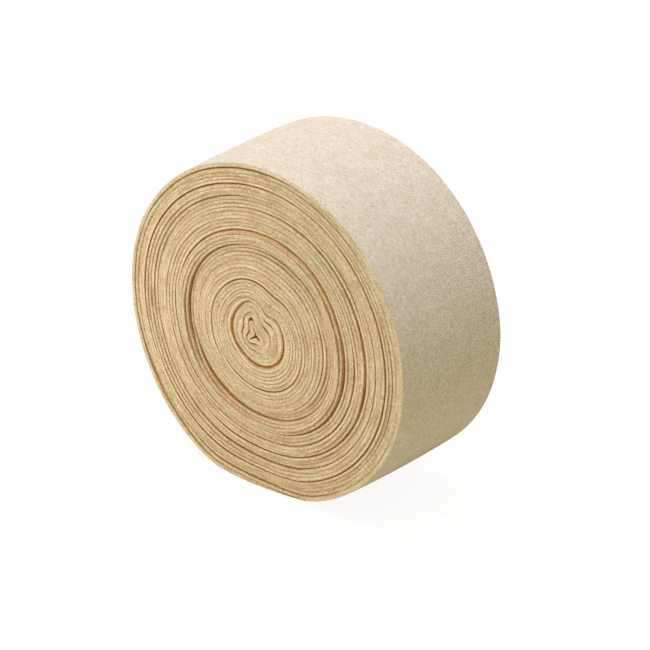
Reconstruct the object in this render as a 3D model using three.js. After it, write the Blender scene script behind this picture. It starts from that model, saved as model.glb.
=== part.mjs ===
// A roll of tubular stockinette: one long strip of flattened knit tube, wound on itself and standing
// on its rim. The wound strip is one solid. Its faces show the main turns as one running spiral, the
// deeper gaps between groups of turns, and the folded core where the winding starts.
//
// Millimetres. +Z is up and the floor is Z = 0. The roll's axis lies along Y, the fronts of the turns
// face -Y, and the origin is the middle of the footprint.

import * as THREE from 'three';

// Driving sizes
const STRIP_WIDTH = 75;         // the flattened tube's width, and so the roll's length along Y
const ROLL_RADIUS = 92;         // mean radius of the outline, as it is at the strip's end
const AXIS_HEIGHT = 87.9;       // height of the roll's middle, less than its radius: its own weight
                                // presses a flat spot where it stands
const CORE_SHARE = 0.18;        // the folded core's radius, as a share of the outline's
const DRIFT_X = -7.1;           // how far the innermost turns sit from the roll's middle
const DRIFT_Z = -4.4;

// The spiral
const STEPS = 60;               // points in one turn
const TURNS = 14;               // main turns, each a bundle of about three turns of the strip
const START_STEP = 0.03;        // what the first turn adds, as a share of the outline
const END_STEP = 0.022;         // what the last turn adds: the strip's end, pressed thin
const END_ANGLE = 289;          // degrees: the strip ends under the roll, beside the flat spot

// The side of the roll
const EDGE_DROP = 1.6;          // the outermost turn's folded edge is rounded by this much
const SIDE_ROWS = [             // inset from the edge as a share of the width, and the side's swell
  { inset: 0.05, swell: 1.002 },
  { inset: 0.25, swell: 1.006 },
  { inset: 0.50, swell: 1.008 },
  { inset: 0.75, swell: 1.006 },
  { inset: 0.95, swell: 1.002 },
];

// Out of round: each row bends the outline in this many waves a turn
const OUT_OF_ROUND = [
  { waves: 2, cosine: -0.001, sine: 0.000 },
  { waves: 3, cosine: 0.001, sine: 0.001 },
  { waves: 4, cosine: 0.000, sine: -0.005 },
];

// The inner turns bend in a second way, which fades outwards
const INNER_BENDS = [
  { waves: 2, cosine: 0.020, sine: 0.000 },
  { waves: 3, cosine: -0.010, sine: 0.000 },
];

// The faces, from the core outwards: how deep the gap between turns is, and how far the turns there
// stand out of the -Y face, in millimetres. A turn that stands out of one face sinks into the other.
const RINGS = [
  { share: 0.18, gap: 8.0, proud: -0.8 },
  { share: 0.24, gap: 1.6, proud: 0.8 },
  { share: 0.31, gap: 2.4, proud: 0.4 },
  { share: 0.41, gap: 1.5, proud: -0.6 },
  { share: 0.49, gap: 4.5, proud: -1.4 },
  { share: 0.56, gap: 1.6, proud: 1.8 },
  { share: 0.62, gap: 3.8, proud: -0.6 },
  { share: 0.69, gap: 1.6, proud: 0.3 },
  { share: 0.77, gap: 3.2, proud: -1.0 },
  { share: 0.85, gap: 4.2, proud: 0.8 },
  { share: 0.93, gap: 1.8, proud: -0.5 },
  { share: 1.00, gap: 1.6, proud: 0.7 },
];

// The core is heart-shaped: a dent beside a bulge, and a flatter stretch below, in degrees round it
const CORE_BENDS = [
  { angle: 70, width: 13, out: -0.20 },
  { angle: 110, width: 24, out: 0.14 },
  { angle: 232, width: 30, out: -0.06 },
];
const CORE_FADE = 6;            // how quickly the turns round the core lose its shape

// Rings of the core's own folded layers, as shares of its outline, and how deep each lies
const CORE_RINGS = [
  { share: 0.90, depth: 1.6 },
  { share: 0.74, depth: 0.6 },
  { share: 0.56, depth: 1.8 },
  { share: 0.40, depth: 0.8 },
  { share: 0.24, depth: 1.6 },
  { share: 0.12, depth: 1.0 },
];

// The hollow that the folded layers leave, three creases that meet at one place
const CREASE_X = -1.7;
const CREASE_Z = 0.8;
const CREASES = [
  { toX: -4.7, toZ: 9.3, width: 1.4, depth: 6 },
  { toX: -5.5, toZ: -2.2, width: 1.1, depth: 4 },
  { toX: 1.6, toZ: -1.5, width: 1.1, depth: 4 },
];

const FRONT = -1;
const BACK = 1;
const radians = THREE.MathUtils.degToRad;
const points = [];
const triangles = [];

function addPoint(x, y, z) {
  points.push(x, y, z + AXIS_HEIGHT);
  return points.length / 3 - 1;
}

// Two triangles between two neighbouring rows, turned to face outwards on either side.
function addQuad(inner, innerNext, outer, outerNext, side) {
  addTriangle(inner, innerNext, outerNext, side);
  addTriangle(inner, outerNext, outer, side);
}

function addTriangle(a, b, c, side) {
  if (side === FRONT) triangles.push(a, c, b);
  else triangles.push(a, b, c);
}

// Share of the outline's radius that the spiral has reached after so many turns.
function shareAt(turn) {
  if (turn < 1) return CORE_SHARE + START_STEP * turn;
  if (turn > TURNS - 1) return 1 - END_STEP * (TURNS - turn);
  const wound = (turn - 1) / (TURNS - 2);
  return THREE.MathUtils.lerp(CORE_SHARE + START_STEP, 1 - END_STEP, wound);
}

function angleAt(step) {
  return radians(END_ANGLE) + (step / STEPS) * 2 * Math.PI;
}

// The sum of a table's waves at an angle.
function waveSum(table, angle) {
  let sum = 0;
  for (const { waves, cosine, sine } of table) {
    sum += cosine * Math.cos(waves * angle) + sine * Math.sin(waves * angle);
  }
  return sum;
}

// Radius of the outline before the floor presses it.
function freeRadius(angle) {
  return ROLL_RADIUS * (1 + waveSum(OUT_OF_ROUND, angle));
}

// The same radius, kept above the floor.
function pressed(angle, radius) {
  const down = -Math.sin(angle);
  return down > 0 ? Math.min(radius, AXIS_HEIGHT / down) : radius;
}

function coreBend(angle) {
  let bend = 1;
  for (const { angle: at, width, out } of CORE_BENDS) {
    const turnedBy = Math.atan2(Math.sin(angle - radians(at)), Math.cos(angle - radians(at)));
    bend += out * Math.exp(-((turnedBy / radians(width)) ** 2));
  }
  return bend;
}

// The middle of a turn: the roll was wound a little off centre.
function middleOf(share) {
  const inwards = Math.max(1 - share, 0);
  return { x: DRIFT_X * inwards ** 0.75, z: DRIFT_Z * inwards ** 2 };
}

// A place on the face: the inner turns follow the core, and the floor presses only the outer ones.
function placeOn(share, angle) {
  const inwards = Math.max(1 - share, 0);
  const core = 1 + (coreBend(angle) - 1) * (inwards / (1 - CORE_SHARE)) ** CORE_FADE;
  const inner = 1 + waveSum(INNER_BENDS, angle) * inwards;
  const free = freeRadius(angle);
  const press = 1 + (pressed(angle, free) / free - 1) * share ** 4;
  const reach = share * free * press * core * inner;
  const middle = middleOf(share);
  return { x: middle.x + reach * Math.cos(angle), z: middle.z + reach * Math.sin(angle) };
}

// One column of RINGS, read between its rows.
function ringValue(share, column) {
  const next = RINGS.findIndex((ring) => ring.share >= share);
  if (next <= 0) return RINGS[0][column];
  const from = RINGS[next - 1];
  const to = RINGS[next];
  const along = (share - from.share) / (to.share - from.share);
  return THREE.MathUtils.lerp(from[column], to[column], along);
}

function faceY(side, share, depth) {
  return side * (STRIP_WIDTH / 2 - depth) - ringValue(share, 'proud');
}

// The spiral on one face: a row of points down each gap and a row along each crest between them.
function windFace(side) {
  const gaps = [];
  const crests = [];
  const last = TURNS * STEPS;
  for (let step = 0; step <= last; step++) {
    const share = shareAt(step / STEPS);
    const onRim = step >= last - STEPS;
    const { x, z } = placeOn(share, angleAt(step));
    gaps.push(addPoint(x, faceY(side, share, onRim ? EDGE_DROP : ringValue(share, 'gap')), z));
  }
  for (let step = 0; step <= last - STEPS; step++) {
    const share = (shareAt(step / STEPS) + shareAt(step / STEPS + 1)) / 2;
    const { x, z } = placeOn(share, angleAt(step));
    crests.push(addPoint(x, faceY(side, share, 0), z));
  }
  for (let step = 0; step < last - STEPS; step++) {
    addQuad(gaps[step], gaps[step + 1], crests[step], crests[step + 1], side);
    addQuad(crests[step], crests[step + 1], gaps[step + STEPS], gaps[step + STEPS + 1], side);
  }
  return { gaps, crests };
}

function creaseDepth(x, z) {
  let depth = 0;
  for (const crease of CREASES) {
    const run = new THREE.Vector2(crease.toX - CREASE_X, crease.toZ - CREASE_Z);
    const from = new THREE.Vector2(x - CREASE_X, z - CREASE_Z);
    const along = THREE.MathUtils.clamp(from.dot(run) / run.lengthSq(), 0, 1);
    const off = from.distanceTo(run.clone().multiplyScalar(along));
    depth = Math.max(depth, crease.depth * Math.exp(-((off / crease.width) ** 2)));
  }
  return depth;
}

// The folded core on one face: rings that close in on the place where its creases meet.
function foldCore(side, { gaps, crests }) {
  const core = middleOf(CORE_SHARE);
  const meeting = { x: core.x + CREASE_X, z: core.z + CREASE_Z };
  let outer = null;
  for (const { share, depth } of CORE_RINGS) {
    const ring = [];
    for (let step = 0; step < STEPS; step++) {
      const rim = placeOn(CORE_SHARE, angleAt(step));
      const x = THREE.MathUtils.lerp(meeting.x, rim.x, share);
      const z = THREE.MathUtils.lerp(meeting.z, rim.z, share);
      const creased = depth + creaseDepth(x - core.x, z - core.z);
      ring.push(addPoint(x, faceY(side, CORE_SHARE, creased), z));
    }
    for (let step = 0; step < STEPS; step++) {
      const next = (step + 1) % STEPS;
      if (outer) addQuad(ring[step], ring[next], outer[step], outer[next], side);
      else addQuad(ring[step], ring[next], gaps[step], gaps[step + 1], side);
    }
    if (!outer) {
      addTriangle(ring[0], crests[0], gaps[STEPS], side);
      addTriangle(ring[0], gaps[0], crests[0], side);
    }
    outer = ring;
  }
  const deepest = CORE_RINGS[CORE_RINGS.length - 1].depth + creaseDepth(CREASE_X, CREASE_Z);
  const middle = addPoint(meeting.x, faceY(side, CORE_SHARE, deepest), meeting.z);
  for (let step = 0; step < STEPS; step++) {
    addTriangle(middle, outer[(step + 1) % STEPS], outer[step], side);
  }
}

// The outline's loop of points on one face, with the small step at the strip's end.
function rimOf({ gaps, crests }) {
  return [...gaps.slice(-STEPS - 1), crests[crests.length - 1]];
}

// The side: rows of points between the two rims, pressed flat on the floor.
function wrapSide(frontRim, backRim) {
  const count = frontRim.length;
  let row = frontRim;
  for (const { inset, swell } of SIDE_ROWS) {
    const next = [];
    for (let step = 0; step < count; step++) {
      const atEnd = step === count - 1;
      const turn = TURNS - 1 + step / STEPS;
      const share = atEnd ? 1 - END_STEP / 2 : shareAt(turn);
      const angle = angleAt(atEnd ? 0 : step);
      const reach = pressed(angle, share * swell * freeRadius(angle));
      const y = STRIP_WIDTH * (inset - 0.5) - ringValue(share, 'proud');
      next.push(addPoint(reach * Math.cos(angle), y, reach * Math.sin(angle)));
    }
    joinRows(row, next);
    row = next;
  }
  joinRows(row, backRim);
}

function joinRows(front, back) {
  for (let step = 0; step < front.length; step++) {
    const next = (step + 1) % front.length;
    addQuad(front[step], front[next], back[step], back[next], FRONT);
  }
}

function makeRoll() {
  const front = windFace(FRONT);
  const back = windFace(BACK);
  foldCore(FRONT, front);
  foldCore(BACK, back);
  wrapSide(rimOf(front), rimOf(back));

  const geometry = new THREE.BufferGeometry();
  geometry.setAttribute('position', new THREE.Float32BufferAttribute(points, 3));
  geometry.setIndex(triangles);
  geometry.computeBoundingBox();
  const { min, max } = geometry.boundingBox;
  geometry.translate(-(min.x + max.x) / 2, -(min.y + max.y) / 2, -min.z);
  geometry.computeVertexNormals();
  return geometry;
}

const knitCotton = new THREE.MeshStandardMaterial({ color: 0xd9c6a1, roughness: 0.95, metalness: 0 });
const roll = new THREE.Mesh(makeRoll(), knitCotton);
roll.name = 'stockinette_roll';

const part = new THREE.Group();
part.add(roll);

export default part;
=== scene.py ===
"""A roll of tubular stockinette bandage, wound flat on itself and standing on its rim.

The strip is swept along its own winding path by one Geometry Nodes tree. The path starts in the
folded core, where the strip is buckled round a three-armed hollow, and then runs outwards turn by
turn. Sizes are in millimetres until they reach Blender, which works in metres.
"""
import math

import bpy
import numpy as np
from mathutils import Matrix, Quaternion, Vector


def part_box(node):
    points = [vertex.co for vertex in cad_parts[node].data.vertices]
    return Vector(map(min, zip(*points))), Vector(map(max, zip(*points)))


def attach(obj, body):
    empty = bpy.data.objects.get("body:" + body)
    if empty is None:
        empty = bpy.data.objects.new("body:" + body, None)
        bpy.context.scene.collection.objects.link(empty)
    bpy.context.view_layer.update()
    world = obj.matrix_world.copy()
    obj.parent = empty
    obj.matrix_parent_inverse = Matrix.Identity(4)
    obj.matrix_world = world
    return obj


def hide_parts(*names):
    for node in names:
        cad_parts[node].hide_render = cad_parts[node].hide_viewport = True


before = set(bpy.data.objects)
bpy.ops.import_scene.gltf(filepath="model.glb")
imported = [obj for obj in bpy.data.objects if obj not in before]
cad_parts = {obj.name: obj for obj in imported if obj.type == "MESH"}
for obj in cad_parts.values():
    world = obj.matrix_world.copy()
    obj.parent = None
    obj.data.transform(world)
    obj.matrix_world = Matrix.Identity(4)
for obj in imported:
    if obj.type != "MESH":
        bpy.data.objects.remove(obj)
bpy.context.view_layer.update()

MM = 0.001
ROLL_NODE = "stockinette_roll"

# The strip and the roll
STRIP_WIDTH = 75.0      # the tube laid flat
ROLL_RADIUS = 92.0      # mean radius of the outline, as it is at the strip's end
AXIS_HEIGHT = 87.9      # less than the radius: the roll's weight presses a flat spot
FLAT_BLEND = 3.0        # mm over which the outline rounds into the flat spot
PRESS_FADE = 4          # how quickly that flatness fades in the turns above it
CORE_SHARE = 0.18       # the folded core's radius, as a share of the outline's
CORE_TURNS = 4          # turns of the strip in the core
FIRST_TURN = -0.03      # where the strip starts and ends, in turns from the angle of the core's dent
LAST_TURN = 40.558
DENT_ANGLE = 88.0       # degrees: whole turns are counted from here
LAST_STEP = 2.0         # mm that the last turn adds to the outline
BODY_SWELL = 0.8        # mm that the side swells at the middle of its width
SWELL_POWER = 2.2       # how flat that swell is at its middle

# The strip's end
END_TAPER = 0.06        # turns over which it is pressed thin
END_THIN = 0.08         # and how thin it gets
END_SINK = 0.5          # mm that its tip is pressed into the turn below
END_SINK_POWER = 6      # how close to the tip that sinking starts
END_SET_BACK = 0.15     # mm that it keeps behind that turn's fold

# The folds of the flattened tube, and the small waves along them
FOLD_DEPTH = 0.55       # mm over which a fold rounds off
FOLD_POINTS = 9         # points of its section round each fold
FOLD_FLATNESS = 0.955   # from 0, round, to 1, square: how flat a fold is where no groove lies beside it
WAVE_HEIGHT = 0.3       # mm that a fold wanders out of the face
WAVE_LENGTH = 80.0      # mm
PINCH = 0.06            # the share of its thickness by which a fold narrows in places
CREASE_DEPTH = 0.35     # mm that the tube's edge sinks between its two layers, in places
WAVE_SEED = 4.0

# How tightly it is wound: the share of the outline's radius reached after so many turns
WOUND_TO = [  # turns, share
    (0, 0.0), (4, 0.18), (10, 0.315), (16, 0.447), (19, 0.507), (23, 0.588), (26, 0.656), (29, 0.721),
    (32, 0.787), (35, 0.857), (38, 0.915), (39, 0.943), (41.06, 1.0), (43, 1.05),
]

# The middle of each turn, from the roll's: it was wound a little off centre
DRIFT = [  # share, x, z
    (0.18, -5.8, -2.9), (0.38, -5.6, -3.3), (0.48, -4.0, -0.9),
    (0.70, -3.1, -0.4), (0.85, -2.0, 0), (1, 0, 0),
]

# Out of round: each row bends the outline in this many waves a turn
OUT_OF_ROUND = [  # waves, cosine, sine
    (2, -0.001, 0.000),
    (3, 0.001, 0.001),
    (4, 0.000, -0.005),
]

# The inner turns bend in a second way, which fades outwards
INNER_BENDS = [  # waves, cosine, sine
    (2, 0.020, 0.000),
    (3, -0.010, 0.000),
]

# The core is heart-shaped: a dent beside a bulge, and a flatter stretch below
CORE_BENDS = [  # angle, width, out
    (70, 13, -0.20),
    (110, 24, 0.14),
    (232, 30, -0.06),
]
CORE_FADE = 6           # how quickly the turns round the core lose its shape

# The hollow in the core: three creases that meet at one place, from the core's middle
CREASE_MEETING = (-1.0, -0.8)
CREASE_ENDS = [(-4.3, 6.6), (-5.4, -4.0), (0.9, -2.7)]
HOLLOW = 0.4            # half the width of a crease
INNERMOST = 0.02        # how near its creases the strip starts, where the core's rim is at 1
CORE_REACH = 30.0       # mm, further than any place in the core from another
HALVINGS = 24           # steps in which a place in the core is closed in on

# The winding steps outwards mostly at one side of the roll, where each turn climbs on the last
STEP_REACH = 0.07       # half the length of a climb, in turns
CLIMB_PAST_DENT = 0.344 # turns from the dent to where the outer turns climb
CLIMB_MOVES_OVER = 4    # turns round the core over which the climb gets there
CLIMB_SHARES = [  # turn, how much of its outward step falls within its climb
    (0, 0.85), (4, 0.85), (6, 0.4), (34, 0.4), (37, 0.0),
]

# How deep the groove outside each turn looks, from 0 to 1. Turns without a row have a faint one
GROOVES = {  # turn: depth
    0: 0.1, 1: 0.1, 2: 0.1, 3: 0.0, 4: 1.0, 6: 0.3, 7: 0.45, 10: 0.5, 12: 0.1, 13: 0.25, 14: 0.1, 15: 0.1,
    16: 0.15, 17: 0.1, 18: 0.1, 19: 0.7, 20: 0.0, 21: 0.1, 22: 0.0, 23: 0.6, 26: 0.35, 29: 0.35, 32: 0.35,
    35: 0.45, 38: 0.15, 39: 0.15, 40: 0.1,
}
FAINT_GROOVE = 0.1
GROOVE_AT_GAP = 0.7     # what each mm of a wider gap adds to its groove
GROOVE_NOISE = 0.17     # how far the depth strays either way along a turn
NOISE_IN_CORE = 0.3     # the share of that in the core
NOISE_STEP = 0.17       # turns from one random depth to the next
NOISE_STEPS = 300       # enough of them for the whole strip
GROOVE_SEED = 7

# The wider gaps between turns: which turn lies inside the gap, how far it opens, and round which
# angle and how far to each side of it
GAPS = [  # turn, open, angle, spread
    (4, 1.5, 210, 95),
    (4, 1.4, 330, 70),
    (4, 0.6, 120, 40),
    (4, 0.5, 35, 35),
    (10, 0.6, 90, 60),
    (10, 0.5, 260, 80),
    (16, 0.5, 0, 45),
    (16, 0.5, 245, 35),
    (19, 0.5, 120, 80),
    (19, 0.6, 232, 30),
    (19, 0.4, 330, 50),
    (23, 0.65, 20, 70),
    (23, 0.8, 160, 50),
    (23, 0.3, 300, 60),
    (26, 0.4, 20, 45),
    (26, 0.4, 325, 45),
    (29, 0.65, 20, 60),
    (29, 0.8, 250, 30),
    (29, 0.25, 310, 50),
    (32, 0.4, 10, 40),
    (32, 0.4, 115, 30),
    (32, 0.7, 265, 45),
    (35, 0.4, 20, 40),
    (35, 0.7, 135, 50),
    (35, 0.7, 185, 40),
    (35, 0.8, 250, 40),
    (35, 0.4, 330, 40),
    (38, 0.4, 255, 30),
    (39, 0.7, 98, 30),
    (39, 0.5, 262, 35),
]

# How far the turns stand out of the front face, from the core outwards
PROUD = [  # share, out
    (0.18, -0.2), (0.24, 0.6), (0.31, 0.4), (0.41, 0.0), (0.47, -0.4), (0.50, -1.4), (0.56, 1.8),
    (0.62, -0.6), (0.69, 0.3), (0.77, -1.0), (0.85, 0.8), (0.93, -0.5), (0.96, -0.2), (1.00, 1.0),
]
NEIGHBOURS = (-2, -1, 1, 2)     # the turns that one may lie lower than

# The path's points lie closer together where it bends more tightly
POINT_SPACING = [  # radius, spacing
    (5, 0.5), (17, 0.9), (30, 1.4), (60, 2.1),
]
INNERMOST_SHARE = 0.05  # the radius of its first bends, as a share of the outline's
SMOOTHING = 6           # how often its values are smoothed
SPREAD = (0.6, 1.5)     # the least and most by which a turn's thickness follows the drift

# The knit's loops
WALE = 1.25             # mm between the ribs, drawn a little coarse so that they show
COURSE = 1.1            # mm between the rows of loops, coarse as well
CRINKLE = 1.6           # mm, the size of the loops' unevenness
RIBS_ASTRAY = 0.9       # how far that moves a rib sideways, in ribs
ARROW = 0.5             # how far a stitch's arrow shape reaches along its rib, in rows
ROW_RELIEF = 0.5        # how high the rows stand, and the unevenness, where a rib's height is 1
UNEVEN_RELIEF = 5.0
RELIEF = 0.3            # mm that stand for that 1 on the faces
SIDE_RELIEF = 0.22      # mm more on the side

# The cloth's colours
SPECK = 1.1             # mm, the size of the specks
BLOTCH = 9.0            # mm, the size of the broad mottling
STREAK = 14.0           # mm, the length of the streaks along the folds
STREAK_CHANGES = 1.3    # how often they change from a fold's middle to its corner
HUSK_SPACING = 9.0      # mm between the flecks of seed husk
HUSK_REACH = (0.04, 0.09)   # where a fleck starts to fade and where it ends, in spacings
HUSK_STRENGTH = 0.5
HUSK_COLOUR = "#9a6c3a"
CREST_HIGHLIGHT_REACH = 0.12            # mm in from a fold over which a painted highlight makes it paler, where a groove lies beside it
SPECKS_IN_STREAKS = 0.75
SPECKS_IN_GRAIN = 0.9
# The knit's relief put into the grain's colour: painted shade in its hollows, lighter on its ribs
KNIT_SHADE_IN_GRAIN = 0.07
FINE, BROAD, STREAKS, GRAIN_WITH_KNIT_SHADE, CREST_HIGHLIGHTS = 0.9, 0.2, 1.7, 0.1, 0.5   # how much each adds to the mottling; the crests' part is a painted highlight, and the grain's holds painted knit shade
CLOTH_COLOURS = [  # mottling, colour
    (0.3, "#dac9ac"), (0.7, "#f7ecd9"), (1.0, "#fffcf2"),
]

# Painted shade between the turns: how deep a place lies between them, and how that shade tints the cloth
DEPTH_IN = 2.2          # for each mm in from the fold
DEPTH_IN_GROOVE = 1.2   # and so much more in a full groove
DEPTH_SUNK = 0.1        # for each mm that the turn lies lower than its neighbours, in their painted shade
DEEPEST = 6.0
GAP_SHADE_TINTS = [  # share of the deepest, tint
    (0.0, "#f9eed6"), (0.035, "#f6ead1"), (0.09, "#f2dcb0"), (0.3, "#e4be82"), (1.0, "#cf9d58"),
]


def settle(x):
    """A smooth step from 0 to 1 while x goes from -1 to 1."""
    x = np.clip((x + 1) / 2, 0, 1)
    return x * x * (3 - 2 * x)


def away(angle, at):
    """How far an angle is from another, in degrees, the short way round."""
    return (angle - at + 180) % 360 - 180


def climb_at(turn):
    """Where the strip climbs over the end of this turn: at the dent in the core, and later past it."""
    return turn + CLIMB_PAST_DENT * np.clip((turn - CORE_TURNS) / CLIMB_MOVES_OVER, 0, 1)


def climb_share(turn):
    """How much of a turn's outward step falls within its climb."""
    turns, shares = zip(*CLIMB_SHARES)
    return np.interp(turn, turns, shares)


def wound(turns):
    """The strip's place in the winding, counted in layers, after so many turns."""
    layers = np.array(turns, float)
    last_climb = CLIMB_SHARES[-1][0]
    for turn in range(last_climb):
        past = turns - climb_at(turn)
        layers = layers + climb_share(turn) * (settle(past / STEP_REACH) - np.clip(past + 0.5, 0, 1))
    return layers


def angle_at(turns):
    """The angle round the roll after so many turns, in degrees."""
    return (DENT_ANGLE + 360 * turns) % 360


def gap_at(angle, turn=None):
    """The width of the gaps outside a turn, or of all gaps, at an angle."""
    width = np.zeros_like(angle)
    for inside, opening, at, spread in GAPS:
        if turn is None or turn == inside:
            width = width + opening * np.exp(-(away(angle, at) / spread) ** 2)
    return width


def wave_sum(table, angle):
    """The sum of a table's waves at an angle."""
    turned = np.radians(angle)
    return sum(c * np.cos(n * turned) + s * np.sin(n * turned) for n, c, s in table)


def pressed(angle, radius):
    """The reach of the outline over the surface that it rests on, with its flat spot's ends rounded."""
    down = np.maximum(-np.sin(np.radians(angle)), 1e-6)
    floor_reach = AXIS_HEIGHT / down
    blend = np.clip(1 - np.abs(radius - floor_reach) / FLAT_BLEND, 0, 1)
    return np.minimum(radius, floor_reach) - FLAT_BLEND / 4 * blend ** 2


def middle_of(share):
    """The middle of a turn, from the roll's."""
    shares, x, z = zip(*DRIFT)
    return np.interp(share, shares, x), np.interp(share, shares, z)


def place(share, angle):
    """A place on the face outside the core."""
    inwards = np.clip(1 - share, 0, 1)
    bend = sum(out * np.exp(-(away(angle, at) / width) ** 2) for at, width, out in CORE_BENDS)
    core = 1 + bend * (inwards / (1 - CORE_SHARE)) ** CORE_FADE
    inner = 1 + wave_sum(INNER_BENDS, angle) * inwards
    free = ROLL_RADIUS * (1 + wave_sum(OUT_OF_ROUND, angle))
    press = 1 + (pressed(angle, free) / free - 1) * share ** PRESS_FADE
    reach = share * free * press * core * inner
    x, z = middle_of(share)
    turned = np.radians(angle)
    return np.stack([x + reach * np.cos(turned), z + reach * np.sin(turned)], -1)


ALL_ANGLES = np.arange(0, 360, 1.0)
CORE_MIDDLE = np.array(middle_of(CORE_SHARE))
CORE_RIM = place(CORE_SHARE, ALL_ANGLES)
MEETING = CORE_MIDDLE + CREASE_MEETING


def core_depths(points):
    """How far points in the core are from its creases, and from its rim."""
    to_crease = np.full(len(points), np.inf)
    off = points - MEETING
    for end in CREASE_ENDS:
        run = CORE_MIDDLE + end - MEETING
        along = np.clip(off @ run / (run @ run), 0, 1)
        to_crease = np.minimum(to_crease, np.linalg.norm(off - along[:, None] * run, axis=1))
    to_rim = np.linalg.norm(points[:, None] - CORE_RIM[None], axis=2).min(1)
    return to_crease, to_rim


def place_in_core(level, angle):
    """A place in the core: level 0 lies on its creases, 1 on its rim, and the layers are between."""
    turned = np.radians(angle)
    heading = np.stack([np.cos(turned), np.sin(turned)], -1)
    start = MEETING + level[:, None] * (CORE_MIDDLE - MEETING)
    near, far = np.zeros(len(level)), np.full(len(level), CORE_REACH)
    for _ in range(HALVINGS):
        reach = (near + far) / 2
        points = start + reach[:, None] * heading
        to_crease, to_rim = core_depths(points)
        outside = np.linalg.norm(points - CORE_MIDDLE, axis=1) > rim_reach(points)
        past = outside | (to_crease / (to_crease + to_rim) > level)
        far, near = np.where(past, reach, far), np.where(past, near, reach)
    return start + near[:, None] * heading


def rim_reach(points):
    """The rim's distance from the core's middle, in the direction of each point."""
    off = points - CORE_MIDDLE
    rim = CORE_RIM - CORE_MIDDLE
    at = np.degrees(np.arctan2(off[:, 1], off[:, 0])) % 360
    rim_angles = np.degrees(np.arctan2(rim[:, 1], rim[:, 0])) % 360
    order = np.argsort(rim_angles)
    return np.interp(at, rim_angles[order], np.linalg.norm(rim, axis=1)[order], period=360)


def edge_share(angle):
    """The outline as a share of its largest radius: it grows by one layer in the last turn."""
    since_end = (angle - angle_at(LAST_TURN)) % 360 / 360
    return 1 - LAST_STEP / ROLL_RADIUS * (1 - since_end)


GAP_TURNS = sorted({row[0] for row in GAPS})
GAP_MEANS = {turn: gap_at(ALL_ANGLES, turn).mean() for turn in GAP_TURNS}


def built_up(layers):
    """The height of so many layers above the core's rim, without the gaps between them."""
    turns, shares = (np.array(column) for column in zip(*WOUND_TO))
    opened = [sum(GAP_MEANS[turn] for turn in GAP_TURNS if turn < at) for at in turns]
    return np.interp(layers, turns, ROLL_RADIUS * (shares - CORE_SHARE) - opened)


def winding(turns):
    """The strip's middle line, its outward direction and its half thickness, for a list of turns."""
    angle = angle_at(turns)
    layers = wound(turns)
    last = LAST_TURN - 1 + (angle - angle_at(LAST_TURN)) % 360 / 360
    top = built_up(wound(last) + 0.5)
    squeeze = (ROLL_RADIUS * (edge_share(angle) - CORE_SHARE) - gap_at(angle)) / top
    height = squeeze * built_up(layers)
    for turn in GAP_TURNS:
        height = height + gap_at(angle, turn) * settle((turns - climb_at(turn)) / STEP_REACH)
    share = CORE_SHARE + height / ROLL_RADIUS

    middle = place(np.maximum(share, CORE_SHARE), angle)
    in_core = layers < CORE_TURNS
    level = np.clip(layers[in_core] / CORE_TURNS, INNERMOST, 1)
    middle[in_core] = place_in_core(level, angle[in_core])

    above, below = wound(turns + 1), wound(turns - 1)
    half_out = squeeze * (built_up(above) - built_up(layers)) / 2
    half_in = squeeze * (built_up(layers) - built_up(below)) / 2
    to_crease, to_rim = core_depths(middle[in_core])
    core_layer = (to_crease + to_rim) / CORE_TURNS
    half_out[in_core] = core_layer / 2 * (above - layers)[in_core]
    half_in[in_core] = np.minimum(core_layer / 2 * (layers - below)[in_core], to_crease - HOLLOW)

    # The end is pressed thin, down on the turn below
    thinned = 1 - np.clip((LAST_TURN - turns) / END_TAPER, END_THIN, 1)
    turned = np.radians(angle)
    inwards = thinned * half_in + END_SINK * thinned ** END_SINK_POWER
    middle = middle - inwards[:, None] * np.stack([np.cos(turned), np.sin(turned)], -1)
    return middle, share, half_out * (1 - thinned), half_in * (1 - thinned)


def groove_outside(turns):
    """How deep the groove outside the strip is, from 0 to 1, fading a little in and out along its turn."""
    random = np.random.default_rng(GROOVE_SEED)
    strays = random.uniform(-GROOVE_NOISE, GROOVE_NOISE, NOISE_STEPS)
    depth = np.interp(turns / NOISE_STEP, np.arange(NOISE_STEPS), strays)
    depth = depth * np.interp(turns, [CORE_TURNS - 1, CORE_TURNS], [NOISE_IN_CORE, 1])
    for turn in range(math.ceil(LAST_TURN) + 2):
        since_start = settle((turns - climb_at(turn - 1)) / STEP_REACH)
        since_end = settle((turns - climb_at(turn)) / STEP_REACH)
        here = GROOVES.get(turn, FAINT_GROOVE) + GROOVE_AT_GAP * gap_at(angle_at(turns), turn)
        depth = depth + here * (since_start - since_end)
    return np.clip(depth, 0, 1)


def turns_between(first, last):
    """Turns along the path, one for each of its points."""
    radii, spacings = zip(*POINT_SPACING)
    turns = [first]
    while turns[-1] < last:
        share = np.interp(turns[-1], [0, CORE_TURNS, LAST_TURN], [INNERMOST_SHARE, CORE_SHARE, 1])
        radius = ROLL_RADIUS * share
        turns.append(turns[-1] + np.interp(radius, radii, spacings) / (2 * math.pi * radius))
    turns[-1] = last
    return np.array(turns)


def smoothed(values):
    """Values along the path, each drawn a little towards its neighbours."""
    for _ in range(SMOOTHING):
        values[1:-1] = (values[:-2] + 2 * values[1:-1] + values[2:]) / 4
    return values


# The CAD solid is centred on its footprint, so the roll's axis is moved to suit
OUTLINE = place(edge_share(ALL_ANGLES), ALL_ANGLES)
cad_low, cad_high = (Vector(corner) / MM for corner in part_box(ROLL_NODE))
AXIS_X = (cad_low.x + cad_high.x) / 2 - (OUTLINE[:, 0].min() + OUTLINE[:, 0].max()) / 2
AXIS_Y = (cad_low.y + cad_high.y) / 2 + (max(out for _, out in PROUD) + min(out for _, out in PROUD)) / 2


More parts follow.
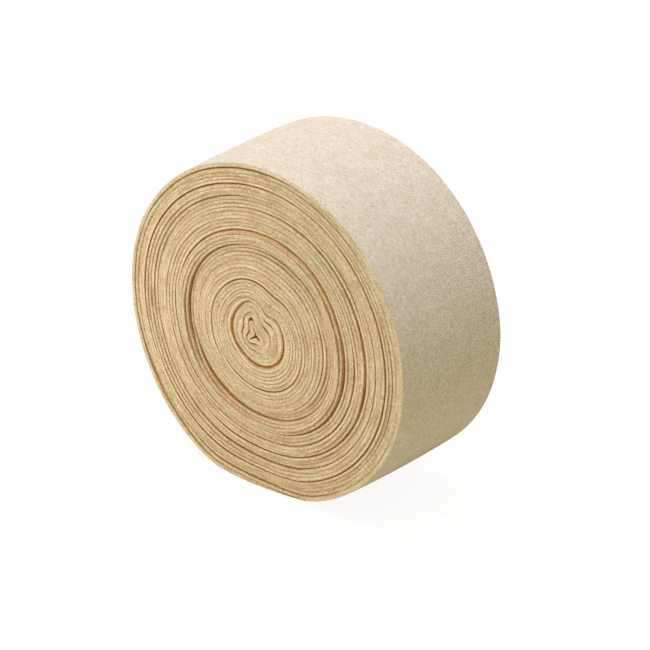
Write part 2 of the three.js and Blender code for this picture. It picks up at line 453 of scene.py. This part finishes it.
def lay_strip(first, last):
    """The path of the strip from one turn to another, as a mesh of points with their sizes, and its
    length. The whole path is worked out each time, because each turn depends on its neighbours."""
    turns = turns_between(FIRST_TURN, LAST_TURN)

    def turns_away(by, values):
        """The values that the strip has so many turns further on."""
        return np.interp(turns + by, turns, values)

    middle, share, half_out, half_in = (smoothed(values) for values in winding(turns))
    run = np.append(0, np.cumsum(np.linalg.norm(np.diff(middle, axis=0), axis=1)))
    ahead = np.gradient(middle, axis=0)
    ahead /= np.linalg.norm(ahead, axis=1)[:, None]
    outward = np.stack([ahead[:, 1], -ahead[:, 0]], -1)

    shares, outs = zip(*PROUD)
    proud = np.interp(share, shares, outs)
    near_end = np.clip(1 - (LAST_TURN - turns) / (2 * END_TAPER), 0, 1)
    proud = proud + near_end * (turns_away(-1, proud) - END_SET_BACK - proud)
    sunk = np.max([
        (np.interp(turns_away(by, share), shares, outs) - proud) / abs(by)
        for by in NEIGHBOURS
    ], axis=0)

    # The turns lie further apart on the side that the winding drifted towards
    pitch = turns_away(1, share) - share
    after = np.stack([turns_away(1, middle[:, i]) for i in (0, 1)], -1)
    apart = np.linalg.norm(after - middle, axis=1) / (ROLL_RADIUS * np.maximum(pitch, 0.001))
    apart = np.where(turns < CORE_TURNS, 1, apart)
    apart = np.where(turns > LAST_TURN - 1, turns_away(-1, apart), apart)
    apart = smoothed(np.clip(apart, *SPREAD))
    half_out = half_out * apart
    half_in = half_in * turns_away(-1, apart)
    pitch = pitch * apart
    fill_out = np.maximum(pitch * ROLL_RADIUS / 2, half_out)
    fill_in = np.maximum(turns_away(-1, pitch) * ROLL_RADIUS / 2, half_in)

    groove_out, groove_in = (groove_outside(turns - by) * (1 - near_end) for by in (0, 1))

    # The mesh
    start, end = np.searchsorted(turns, (first, last))
    keep = slice(start, end + 1)
    count = end + 1 - start
    mesh = bpy.data.meshes.new("strip_path")
    along_y = np.full(len(turns), AXIS_Y)
    places = np.stack([middle[:, 0] + AXIS_X, along_y, middle[:, 1] + AXIS_HEIGHT], -1)[keep]
    mesh.from_pydata((places * MM).tolist(), [(i, i + 1) for i in range(count - 1)], [])
    headings = np.stack([outward[:, 0], np.zeros(len(turns)), outward[:, 1]], -1)[keep]
    mesh.attributes.new("outward", "FLOAT_VECTOR", "POINT").data.foreach_set("vector", headings.ravel())
    sizes = {
        "run": run, "proud": proud, "sunk": sunk,
        "half_out": half_out, "half_in": half_in, "fill_out": fill_out, "fill_in": fill_in,
    }
    values_at = {name: values * MM for name, values in sizes.items()}
    values_at |= {"groove_out": groove_out, "groove_in": groove_in}
    for name, values in values_at.items():
        data = mesh.attributes.new(name, "FLOAT", "POINT").data
        data.foreach_set("value", values[keep].astype(np.float32))
    return bpy.data.objects.new("strip_path", mesh), float(run[keep][-1] - run[keep][0])


def add(tree, kind, *values, named=None, **settings):
    """Adds a node with its settings; its inputs take values or other nodes' outputs, in order or by name."""
    node = tree.nodes.new(kind)
    for key, value in settings.items():
        setattr(node, key, value)
    for key, value in [*enumerate(values), *(named or {}).items()]:
        if isinstance(value, bpy.types.Node):
            value = next(out for out in value.outputs if out.enabled)
        if isinstance(value, bpy.types.NodeSocket):
            tree.links.new(value, node.inputs[key])
        elif value is not None:
            node.inputs[key].default_value = value
    return node


NOISE_ALONG = [  # what it moves, stretch, start, low, high, detail
    ("wave", 1.0, 0.0, 0.3, 0.7, 3.0),
    ("pinch", 2.1, 37.0, 0.42, 0.72, 2.0),
    ("crease", 1.3, 113.0, 0.4, 0.65, 2.0),
]
FACES_APART = 20.0      # wave lengths between the noise on one face and on the other
CREASE_REACH = 0.5      # the share of a fold's half thickness that its crease takes up
ALMOST_1 = 0.999


def strip_tree():
    """The tree that sweeps the flattened tube's section along its path."""
    tree = bpy.data.node_groups.new("flattened_tube", "GeometryNodeTree")
    tree.interface.new_socket("Path", in_out="INPUT", socket_type="NodeSocketGeometry")
    inputs = [
        ("Width", "NodeSocketFloat"),
        ("Fold Depth", "NodeSocketFloat"),
        ("Fold Points", "NodeSocketInt"),
        ("Rows", "NodeSocketInt"),
        ("Row Crowding", "NodeSocketFloat"),
        ("Swell", "NodeSocketFloat"),
        ("Swell Power", "NodeSocketFloat"),
        ("Wave Height", "NodeSocketFloat"),
        ("Wave Length", "NodeSocketFloat"),
        ("Pinch", "NodeSocketFloat"),
        ("Fold Flatness", "NodeSocketFloat"),
        ("Crease Depth", "NodeSocketFloat"),
        ("Outside Shows", "NodeSocketFloat"),
        ("Seed", "NodeSocketFloat"),
        ("Material", "NodeSocketMaterial"),
    ]
    for name, kind in inputs:
        tree.interface.new_socket(name, in_out="INPUT", socket_type=kind)
    tree.interface.new_socket("Strip", in_out="OUTPUT", socket_type="NodeSocketGeometry")
    given = add(tree, "NodeGroupInput").outputs
    math_node = "ShaderNodeMath"

    # The section: a row of points round the tube, half of them for each fold and the side after it
    per_half = add(tree, math_node, given["Fold Points"], given["Rows"], operation="ADD")
    count = add(tree, math_node, per_half, 2.0, operation="MULTIPLY")
    points = add(tree, "GeometryNodeMeshLine", named={"Count": count})
    index = add(tree, "GeometryNodeInputIndex")
    half = add(tree, math_node, index, per_half, operation="DIVIDE")
    half = add(tree, math_node, half, operation="FLOOR")
    turned = add(tree, math_node, half, -2.0, 1.0, operation="MULTIPLY_ADD")
    before = add(tree, math_node, half, per_half, operation="MULTIPLY")
    step = add(tree, math_node, index, before, operation="SUBTRACT")
    on_fold = add(tree, math_node, step, given["Fold Points"], operation="LESS_THAN")
    angle = add(tree, math_node, step, 0.5, operation="ADD")
    angle = add(tree, math_node, angle, given["Fold Points"], operation="DIVIDE")
    angle = add(tree, math_node, angle, math.pi, -math.pi / 2, operation="MULTIPLY_ADD")
    fold_lift = add(tree, math_node, angle, operation="SINE")
    fold_out = add(tree, math_node, angle, operation="COSINE")
    half_width = add(tree, math_node, given["Width"], 2.0, operation="DIVIDE")
    shoulder = add(tree, math_node, half_width, given["Fold Depth"], operation="SUBTRACT")
    fold_out = add(tree, math_node, fold_out, given["Fold Depth"], shoulder, operation="MULTIPLY_ADD")
    row = add(tree, math_node, step, given["Fold Points"], operation="SUBTRACT")
    row = add(tree, math_node, row, 1.0, operation="ADD")
    rows = add(tree, math_node, given["Rows"], 1.0, operation="ADD")
    row = add(tree, math_node, row, rows, operation="DIVIDE")
    row = add(tree, math_node, row, -2.0, 1.0, operation="MULTIPLY_ADD")
    row_side = add(tree, math_node, row, operation="SIGN")
    row_out = add(tree, math_node, row, operation="ABSOLUTE")
    row_out = add(tree, math_node, row_out, given["Row Crowding"], operation="POWER")
    row_out = add(tree, math_node, row_out, row_side, operation="MULTIPLY")
    row_out = add(tree, math_node, row_out, shoulder, operation="MULTIPLY")
    out = add(tree, "ShaderNodeMix", on_fold, data_type="FLOAT", named={2: row_out, 3: fold_out})
    lift = add(tree, "ShaderNodeMix", on_fold, data_type="FLOAT", named={2: 1.0, 3: fold_lift})
    lift = add(tree, math_node, lift, turned, operation="MULTIPLY")
    across = add(tree, math_node, out, turned, operation="MULTIPLY")
    across = add(tree, math_node, across, -1.0, operation="MULTIPLY")
    section = add(tree, "GeometryNodeStoreNamedAttribute", points, named={"Name": "across", "Value": across})
    section = add(tree, "GeometryNodeStoreNamedAttribute", section, named={"Name": "lift", "Value": lift})
    section = add(tree, "GeometryNodeMeshToCurve", section)
    section = add(tree, "GeometryNodeSetSplineCyclic", section, named={"Cyclic": True})

    # Its points only need to lie apart here: their real places are worked out after the sweep
    across = add(tree, "GeometryNodeInputNamedAttribute", "across")
    lift = add(tree, "GeometryNodeInputNamedAttribute", "lift")
    flat_lift = add(tree, math_node, lift, MM, operation="MULTIPLY")
    flat_place = add(tree, "ShaderNodeCombineXYZ", across, flat_lift)
    section = add(tree, "GeometryNodeSetPosition", section, named={"Position": flat_place})

    # The sweep
    spine = add(tree, "GeometryNodeInputPosition")
    path = add(
        tree, "GeometryNodeStoreNamedAttribute", given["Path"],
        data_type="FLOAT_VECTOR", named={"Name": "spine", "Value": spine},
    )
    path = add(tree, "GeometryNodeMeshToCurve", path)
    strip = add(tree, "GeometryNodeCurveToMesh", path, section, named={"Fill Caps": True})

    # How far each point stands off the middle line, outwards and across
    run, proud, half_out, half_in, fill_out, fill_in, groove_out, groove_in = (
        add(tree, "GeometryNodeInputNamedAttribute", name)
        for name in ("run", "proud", "half_out", "half_in", "fill_out", "fill_in", "groove_out", "groove_in")
    )
    face = add(tree, math_node, across, operation="SIGN")
    along = add(tree, math_node, run, given["Wave Length"], operation="DIVIDE")
    along = add(tree, math_node, along, given["Seed"], operation="ADD")
    along = add(tree, math_node, face, FACES_APART, along, operation="MULTIPLY_ADD")

    # What changes along the strip: noise, from 0 at the low end of its range to 1 at the high end
    noises = {}
    for name, stretch, start, low, high, detail in NOISE_ALONG:
        at = add(tree, math_node, along, stretch, start, operation="MULTIPLY_ADD")
        noise = add(
            tree, "ShaderNodeTexNoise", noise_dimensions="1D",
            named={"W": at, "Scale": 1.0, "Detail": detail},
        )
        noises[name] = add(tree, "ShaderNodeMapRange", noise.outputs["Fac"], low, high, 0.0, 1.0)
    wave = add(tree, math_node, noises["wave"], 2.0, -1.0, operation="MULTIPLY_ADD")
    wave = add(tree, math_node, wave, given["Wave Height"], operation="MULTIPLY")
    pinch = add(tree, math_node, noises["pinch"], given["Pinch"], operation="MULTIPLY")
    thinner = add(tree, math_node, 1.0, pinch, operation="SUBTRACT")
    crease = add(tree, math_node, noises["crease"], given["Crease Depth"], operation="MULTIPLY")

    # Outwards: the fold's section, flatter where no groove lies beside it. The rows on the sides, whose
    # lift is a full 1, fill the room between the turns
    lift_size = add(tree, math_node, lift, operation="ABSOLUTE")
    lift_side = add(tree, math_node, lift, operation="SIGN")
    is_outer = add(tree, math_node, lift, 0.0, operation="GREATER_THAN")
    is_row = add(tree, math_node, lift_size, ALMOST_1, operation="GREATER_THAN")
    groove = add(tree, "ShaderNodeMix", is_outer, data_type="FLOAT", named={2: groove_in, 3: groove_out})
    strip = add(tree, "GeometryNodeStoreNamedAttribute", strip, named={"Name": "groove", "Value": groove})
    flatness = add(tree, math_node, 1.0, groove, operation="SUBTRACT")
    flatness = add(tree, math_node, flatness, given["Fold Flatness"], operation="MULTIPLY")
    power = add(tree, math_node, 1.0, flatness, operation="SUBTRACT")
    squared = add(tree, math_node, lift_size, power, operation="POWER")
    squared = add(tree, math_node, squared, lift_side, operation="MULTIPLY")
    half = add(tree, "ShaderNodeMix", is_outer, data_type="FLOAT", named={2: half_in, 3: half_out})
    half = add(tree, math_node, half, thinner, operation="MULTIPLY")
    fill = add(tree, "ShaderNodeMix", is_outer, data_type="FLOAT", named={2: fill_in, 3: fill_out})
    half = add(tree, "ShaderNodeMix", is_row, data_type="FLOAT", named={2: half, 3: fill})
    off_middle = add(tree, math_node, across, half_width, operation="DIVIDE")
    off_middle = add(tree, math_node, off_middle, operation="ABSOLUTE")
    swell = add(tree, math_node, off_middle, given["Swell Power"], operation="POWER")
    swell = add(tree, math_node, 1.0, swell, operation="SUBTRACT")
    swell = add(tree, math_node, swell, given["Swell"], operation="MULTIPLY")
    stand = add(tree, math_node, squared, half, swell, operation="MULTIPLY_ADD")

    # Across: how far the turn stands out of the front, its waves, and the crease in the fold
    in_crease = add(tree, "ShaderNodeMapRange", lift_size, 0.0, CREASE_REACH, 1.0, 0.0)
    crease = add(tree, math_node, crease, in_crease, operation="MULTIPLY")
    crease = add(tree, math_node, crease, face, operation="MULTIPLY")
    shift = add(tree, math_node, proud, wave, operation="ADD")
    shift = add(tree, math_node, shift, crease, operation="ADD")
    sideways = add(tree, math_node, across, shift, operation="SUBTRACT")

    # The point's place, never below the surface that the roll stands on
    outward = add(tree, "GeometryNodeInputNamedAttribute", "outward", data_type="FLOAT_VECTOR")
    spine = add(tree, "GeometryNodeInputNamedAttribute", "spine", data_type="FLOAT_VECTOR")
    place_out = add(tree, "ShaderNodeVectorMath", outward, operation="SCALE", named={"Scale": stand})
    place_across = add(tree, "ShaderNodeCombineXYZ", 0.0, sideways, 0.0)
    position = add(tree, "ShaderNodeVectorMath", spine, place_out, operation="ADD")
    position = add(tree, "ShaderNodeVectorMath", position, place_across, operation="ADD")
    position = add(tree, "ShaderNodeVectorMath", position, (-1.0, -1.0, 0.0), operation="MAXIMUM")
    strip = add(tree, "GeometryNodeSetPosition", strip, named={"Position": position})

    # How far the turns beside it cover a point: fully, except on an outside that shows
    shows = add(tree, "ShaderNodeMapRange", lift, 0.0, 1.0, 0.0, 1.0)
    shows = add(tree, math_node, shows, given["Outside Shows"], operation="MULTIPLY")
    covered = add(tree, math_node, 1.0, shows, operation="SUBTRACT")
    strip = add(tree, "GeometryNodeStoreNamedAttribute", strip, named={"Name": "covered", "Value": covered})
    spent = (
        "spine", "outward", "half_out", "half_in", "fill_out", "fill_in", "proud", "groove_out", "groove_in",
    )
    for name in spent:
        strip = add(tree, "GeometryNodeRemoveAttribute", strip, named={"Name": name})
    strip = add(tree, "GeometryNodeSetShadeSmooth", strip)
    strip = add(tree, "GeometryNodeRealizeInstances", strip)
    strip = add(tree, "GeometryNodeSetMaterial", strip, named={"Material": given["Material"]})
    add(tree, "NodeGroupOutput", strip)
    return tree


def wind(name, tree, first, last, material, **sizes):
    """One stretch of the strip as a plain mesh piece, with its length in mm."""
    path, length = lay_strip(first, last)
    bpy.context.scene.collection.objects.link(path)
    modifier = path.modifiers.new("flattened_tube", "NODES")
    modifier.node_group = tree
    named = {item.name: item.identifier for item in tree.interface.items_tree if item.in_out == "INPUT"}
    for key, value in {**sizes, "Material": material}.items():
        modifier[named[key]] = value
    graph = bpy.context.evaluated_depsgraph_get()
    wound_path = path.evaluated_get(graph)
    mesh = bpy.data.meshes.new_from_object(wound_path, preserve_all_data_layers=True, depsgraph=graph)
    path.modifiers.clear()
    bpy.data.objects.remove(path)
    mesh.name = name
    piece = bpy.data.objects.new(name, mesh)
    bpy.context.scene.collection.objects.link(piece)
    return piece, length


def linear(hex_colour):
    """An sRGB hex colour as linear red, green, blue and alpha."""
    parts = [int(hex_colour[i:i + 2], 16) / 255 for i in (1, 3, 5)]
    return (*(c / 12.92 if c <= 0.04045 else ((c + 0.055) / 1.055) ** 2.4 for c in parts), 1.0)


def set_stops(ramp, colours):
    """Gives a colour ramp its stops."""
    stops = ramp.color_ramp.elements
    while len(stops) < len(colours):
        stops.new(1.0)
    for stop, (at, colour) in zip(stops, colours):
        stop.position, stop.color = at, linear(colour)


def unbleached_cotton_jersey():
    """Unbleached cotton, knitted as a plain jersey tube: a matt, slightly fuzzy cream cloth with fine
    ribs along its length. Between the turns the light only reaches it off more cloth; that is painted as
    shade, more golden and then brown the deeper a place lies. The crests beside grooves get a painted
    highlight, and the knit's hollows a faint painted shade."""
    material = bpy.data.materials.new("unbleached_cotton_jersey")
    material.use_nodes = True
    tree = material.node_tree
    tree.nodes.clear()
    math_node = "ShaderNodeMath"
    across = add(tree, "ShaderNodeAttribute", attribute_name="across").outputs["Fac"]
    run = add(tree, "ShaderNodeAttribute", attribute_name="run").outputs["Fac"]
    sunk = add(tree, "ShaderNodeAttribute", attribute_name="sunk").outputs["Fac"]
    covered = add(tree, "ShaderNodeAttribute", attribute_name="covered").outputs["Fac"]
    lift = add(tree, "ShaderNodeAttribute", attribute_name="lift").outputs["Fac"]
    groove = add(tree, "ShaderNodeAttribute", attribute_name="groove").outputs["Fac"]
    place_on = add(tree, "ShaderNodeTexCoord").outputs["Object"]

    # Millimetres in from the nearest fold, and from them how much painted shade it gets between the turns
    inwards = add(tree, math_node, across, operation="ABSOLUTE")
    inwards = add(tree, math_node, STRIP_WIDTH / 2 * MM, inwards, operation="SUBTRACT")
    inwards = add(tree, math_node, inwards, 1 / MM, operation="MULTIPLY")
    # Painted shade also where a turn lies lower than its neighbours
    sunk = add(tree, math_node, sunk, DEPTH_SUNK / MM, operation="MULTIPLY")
    sunk = add(tree, math_node, sunk, 0.0, operation="MAXIMUM")
    per_mm = add(tree, math_node, groove, DEPTH_IN_GROOVE, DEPTH_IN, operation="MULTIPLY_ADD")
    shade_depth = add(tree, math_node, inwards, per_mm, sunk, operation="MULTIPLY_ADD")
    shade_depth = add(tree, math_node, shade_depth, covered, operation="MULTIPLY")

    # Loops: ribs along the strip, with arrow-shaped stitches across each rib, a little crinkled.
    # The ribs are counted in from the fold, round its corner and then along the side
    fine = add(
        tree, "ShaderNodeTexNoise", place_on,
        named={"Scale": 1 / (CRINKLE * MM), "Detail": 3.0, "Distortion": 1.2},
    )
    fine = fine.outputs["Fac"]
    rounded = add(tree, math_node, inwards, FOLD_DEPTH, operation="MINIMUM")
    rounded = add(tree, math_node, rounded, -1 / FOLD_DEPTH, 1.0, operation="MULTIPLY_ADD")
    rounded = add(tree, math_node, rounded, operation="ARCCOSINE")
    rounded = add(tree, math_node, rounded, FOLD_DEPTH, operation="MULTIPLY")
    flat = add(tree, math_node, inwards, -FOLD_DEPTH, operation="ADD")
    flat = add(tree, math_node, flat, 0.0, operation="MAXIMUM")
    over = add(tree, math_node, rounded, flat, operation="ADD")
    wale = add(tree, math_node, over, 1 / WALE, operation="MULTIPLY")
    wale = add(tree, math_node, fine, RIBS_ASTRAY, wale, operation="MULTIPLY_ADD")
    arm = add(tree, math_node, wale, 1.0, operation="PINGPONG")
    course = add(tree, math_node, run, 1 / (COURSE * MM), operation="MULTIPLY")
    course = add(tree, math_node, arm, ARROW, course, operation="MULTIPLY_ADD")
    course = add(tree, math_node, course, 2 * math.pi, operation="MULTIPLY")
    course = add(tree, math_node, course, operation="SINE")
    rib = add(tree, math_node, wale, 2 * math.pi, operation="MULTIPLY")
    rib = add(tree, math_node, rib, operation="COSINE")
    knit = add(tree, math_node, course, ROW_RELIEF, rib, operation="MULTIPLY_ADD")
    raised = add(tree, math_node, fine, UNEVEN_RELIEF, knit, operation="MULTIPLY_ADD")

    # Cloth: mottled at two sizes, streaked along the folds, with a few flecks of seed husk; on top of that,
    # a painted highlight on the crests beside grooves and faint painted shade in the knit's hollows
    broad = add(tree, "ShaderNodeTexNoise", place_on, named={"Scale": 1 / (BLOTCH * MM), "Detail": 3.0})
    speck = add(tree, "ShaderNodeTexNoise", place_on, named={"Scale": 1 / (SPECK * MM), "Detail": 1.0})
    speck = add(tree, math_node, speck.outputs["Fac"], -0.5, operation="ADD")
    streak_at = add(
        tree, "ShaderNodeCombineXYZ",
        add(tree, math_node, run, 1 / (STREAK * MM), operation="MULTIPLY"),
        add(tree, math_node, lift, STREAK_CHANGES, operation="MULTIPLY"),
    )
    streak = add(tree, "ShaderNodeTexNoise", streak_at, named={"Scale": 1.0, "Detail": 3.0})
    streak = add(tree, math_node, streak.outputs["Fac"], -0.5, operation="ADD")
    streak = add(tree, math_node, speck, SPECKS_IN_STREAKS, streak, operation="MULTIPLY_ADD")
    streak = add(tree, math_node, streak, covered, operation="MULTIPLY")
    open_knit = add(tree, math_node, 1.0, covered, operation="SUBTRACT")
    grain_and_knit_shade = add(tree, math_node, fine, 0.5, operation="SUBTRACT")
    grain_and_knit_shade = add(tree, math_node, speck, SPECKS_IN_GRAIN, grain_and_knit_shade, operation="MULTIPLY_ADD")
    # Painted shade: the knit's hollows a little darker, its ribs lighter
    grain_and_knit_shade = add(tree, math_node, knit, KNIT_SHADE_IN_GRAIN, grain_and_knit_shade, operation="MULTIPLY_ADD")
    grain_and_knit_shade = add(tree, math_node, open_knit, grain_and_knit_shade, operation="MULTIPLY")
    # Painted highlight: the crest beside a groove is paler
    crest_highlight = add(tree, "ShaderNodeMapRange", inwards, 0.0, CREST_HIGHLIGHT_REACH, 1.0, 0.0)
    crest_highlight = add(tree, math_node, crest_highlight, groove, operation="MULTIPLY")
    mottle_and_highlight = 0.0
    broad = broad.outputs["Fac"]
    for part, much in ((fine, FINE), (broad, BROAD), (streak, STREAKS), (grain_and_knit_shade, GRAIN_WITH_KNIT_SHADE), (crest_highlight, CREST_HIGHLIGHTS)):
        mottle_and_highlight = add(tree, math_node, part, much, mottle_and_highlight, operation="MULTIPLY_ADD")
    cloth = add(tree, "ShaderNodeValToRGB", mottle_and_highlight)
    set_stops(cloth, CLOTH_COLOURS)
    husk = add(tree, "ShaderNodeTexVoronoi", place_on, named={"Scale": 1 / (HUSK_SPACING * MM)})
    husk = add(tree, "ShaderNodeMapRange", husk.outputs["Distance"], *HUSK_REACH, HUSK_STRENGTH, 0.0)
    cloth = add(
        tree, "ShaderNodeMix", data_type="RGBA",
        named={"Factor": husk, 6: cloth, 7: linear(HUSK_COLOUR)},
    )

    # Painted shade between the turns: golden, and brown where it is deepest
    shade = add(tree, "ShaderNodeMapRange", shade_depth, 0.0, DEEPEST, 0.0, 1.0)
    gap_shade = add(tree, "ShaderNodeValToRGB", shade)
    set_stops(gap_shade, GAP_SHADE_TINTS)
    gap_shade = add(tree, "ShaderNodeMix", covered, data_type="RGBA", named={6: (1, 1, 1, 1), 7: gap_shade})
    colour = add(
        tree, "ShaderNodeMix", data_type="RGBA", blend_type="MULTIPLY",
        named={"Factor": 1.0, 6: cloth.outputs[2], 7: gap_shade.outputs[2]},
    )

    relief = add(tree, math_node, open_knit, SIDE_RELIEF * MM, RELIEF * MM, operation="MULTIPLY_ADD")
    bump = add(tree, "ShaderNodeBump", named={"Strength": 0.6, "Distance": relief, "Height": raised})

    shader = add(
        tree, "ShaderNodeBsdfPrincipled",
        named={
            "Base Color": colour.outputs[2], "Roughness": 0.95, "Specular IOR Level": 0.1,
            "Sheen Weight": 0.1, "Sheen Roughness": 0.6, "Normal": bump,
        },
    )
    add(tree, "ShaderNodeOutputMaterial", shader)
    return material


# The pieces: one strip, in three stretches. Only the last turn shows its outside, so it has rows of
# points all across and swells. The rest is split in two, because a piece has only so many triangles
SPLIT_TURN = 30.0
WRAP_TURN = LAST_TURN - 1.02    # a little under the strip's end
ALL_STRETCHES = {
    "Width": STRIP_WIDTH * MM, "Fold Depth": FOLD_DEPTH * MM, "Fold Points": FOLD_POINTS,
    "Fold Flatness": FOLD_FLATNESS, "Wave Height": WAVE_HEIGHT * MM, "Wave Length": WAVE_LENGTH * MM,
    "Pinch": PINCH, "Crease Depth": CREASE_DEPTH * MM, "Swell Power": SWELL_POWER, "Seed": WAVE_SEED,
}
COVERED = {"Rows": 2, "Row Crowding": 0.03, "Swell": 0.0, "Outside Shows": 0.0}
OUTSIDE = {"Rows": 24, "Row Crowding": 1.0, "Swell": BODY_SWELL * MM, "Outside Shows": 1.0}
STRETCHES = [  # name, first turn, last turn, sizes
    ("inner_turns", FIRST_TURN, SPLIT_TURN, COVERED),
    ("outer_turns", SPLIT_TURN, WRAP_TURN, COVERED),
    ("last_turn", WRAP_TURN, LAST_TURN, OUTSIDE),
]
jersey = unbleached_cotton_jersey()
tube = strip_tree()
for name, first, last, sizes in STRETCHES:
    piece, length = wind(name, tube, first, last, jersey, **ALL_STRETCHES, **sizes)
    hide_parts(ROLL_NODE)
    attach(piece, "root")
    print(name, len(piece.data.polygons), "faces", round(length), "mm")


def seen_white(tree, strength):
    """How far a shader gives way to plain white: by this strength for the camera, a mirror or glass, and
    not at all for the light that it gives the roll."""
    path = add(tree, "ShaderNodeLightPath").outputs
    seen = add(tree, "ShaderNodeMath", path["Is Camera Ray"], path["Is Glossy Ray"], operation="MAXIMUM")
    seen = add(tree, "ShaderNodeMath", seen, path["Is Transmission Ray"], operation="MAXIMUM")
    return add(tree, "ShaderNodeMath", seen, strength, operation="MULTIPLY")


# The floor: matt paper, which throws a soft warm light up at the roll. It is seen as white, with only
# the roll's shadow on it
SHADOW_KEPT = 0.2       # how much of the lit floor is seen, and so of the shadow on it
WHITE_GLOW = 1.15       # a little over 1, so that the mix of both is white away from the shadow
FLOOR_REACH = 6.0       # metres
floor_mesh = bpy.data.meshes.new("floor")
corners = [(x * FLOOR_REACH, y * FLOOR_REACH, 0) for x, y in ((-1, -1), (1, -1), (1, 1), (-1, 1))]
floor_mesh.from_pydata(corners, [], [(0, 1, 2, 3)])
floor = bpy.data.objects.new("floor", floor_mesh)
bpy.context.scene.collection.objects.link(floor)
paper = bpy.data.materials.new("matt_paper")
paper.use_nodes = True
paper.node_tree.nodes.clear()
lit = add(paper.node_tree, "ShaderNodeBsdfDiffuse", linear("#e8e1c8"))
glow = add(paper.node_tree, "ShaderNodeEmission", linear("#ffffff"), WHITE_GLOW)
seen = seen_white(paper.node_tree, 1 - SHADOW_KEPT)
mixed = add(paper.node_tree, "ShaderNodeMixShader", seen, lit, glow)
add(paper.node_tree, "ShaderNodeOutputMaterial", mixed)
floor_mesh.materials.append(paper)

# Light: a soft fill all round, a large lamp overhead, and two small ones low beside the faces
FILL = 0.31
world = bpy.data.worlds.new("studio")
world.use_nodes = True
world.node_tree.nodes.clear()
fill = add(world.node_tree, "ShaderNodeBackground", linear("#fff9d4"), FILL)
white = add(world.node_tree, "ShaderNodeBackground", linear("#ffffff"), 1.0)
seen = seen_white(world.node_tree, 1.0)
mixed = add(world.node_tree, "ShaderNodeMixShader", seen, fill, white)
add(world.node_tree, "ShaderNodeOutputWorld", mixed)
bpy.context.scene.world = world

LAMPS = [  # name, place, side, watts, colour
    ("top", (-0.09, -0.15, 1.6), 1.1, 26.9, "#f3f1ff"),
    ("back", (-0.4, 1.2, 0.14), 0.5, 4.5, "#fffcf6"),
    ("left", (-0.38, -0.34, 0.08), 0.3, 1.0, "#fffffc"),
]
roll_middle = Vector((AXIS_X, AXIS_Y, AXIS_HEIGHT)) * MM
for name, place_at, side, watts, colour in LAMPS:
    lamp = bpy.data.lights.new(name, "AREA")
    lamp.size, lamp.energy, lamp.color = side, watts, linear(colour)[:3]
    holder = bpy.data.objects.new(name, lamp)
    holder.location = place_at
    holder.rotation_euler = (roll_middle - Vector(place_at)).to_track_quat("-Z", "Y").to_euler()
    bpy.context.scene.collection.objects.link(holder)

# Camera: to the right of the face and above it, a little rolled, with a long lens
AZIMUTH, ELEVATION, ROLLED = math.radians(40.15), math.radians(27.7), math.radians(1.9)
DISTANCE = 29.4         # these three are in radii of the roll
AIM_RIGHT = 0.056
AIM_UP = -0.082
LENS = 297.0            # mm, on a sensor 36 mm wide
radius = ROLL_RADIUS * MM
toward = Vector((
    math.sin(AZIMUTH) * math.cos(ELEVATION),
    -math.cos(AZIMUTH) * math.cos(ELEVATION),
    math.sin(ELEVATION),
))
right = Vector((math.cos(AZIMUTH), math.sin(AZIMUTH), 0))
up = toward.cross(right)
target = roll_middle + (AIM_RIGHT * right + AIM_UP * up) * radius
camera_data = bpy.data.cameras.new("camera")
camera_data.lens, camera_data.sensor_width = LENS, 36
camera = bpy.data.objects.new("camera", camera_data)
camera.location = target + toward * (DISTANCE * radius)
camera.rotation_euler = (toward.to_track_quat("Z", "Y") @ Quaternion((0, 0, 1), ROLLED)).to_euler()
bpy.context.scene.collection.objects.link(camera)
bpy.context.scene.camera = camera
bpy.context.scene.view_settings.view_transform = "Standard"
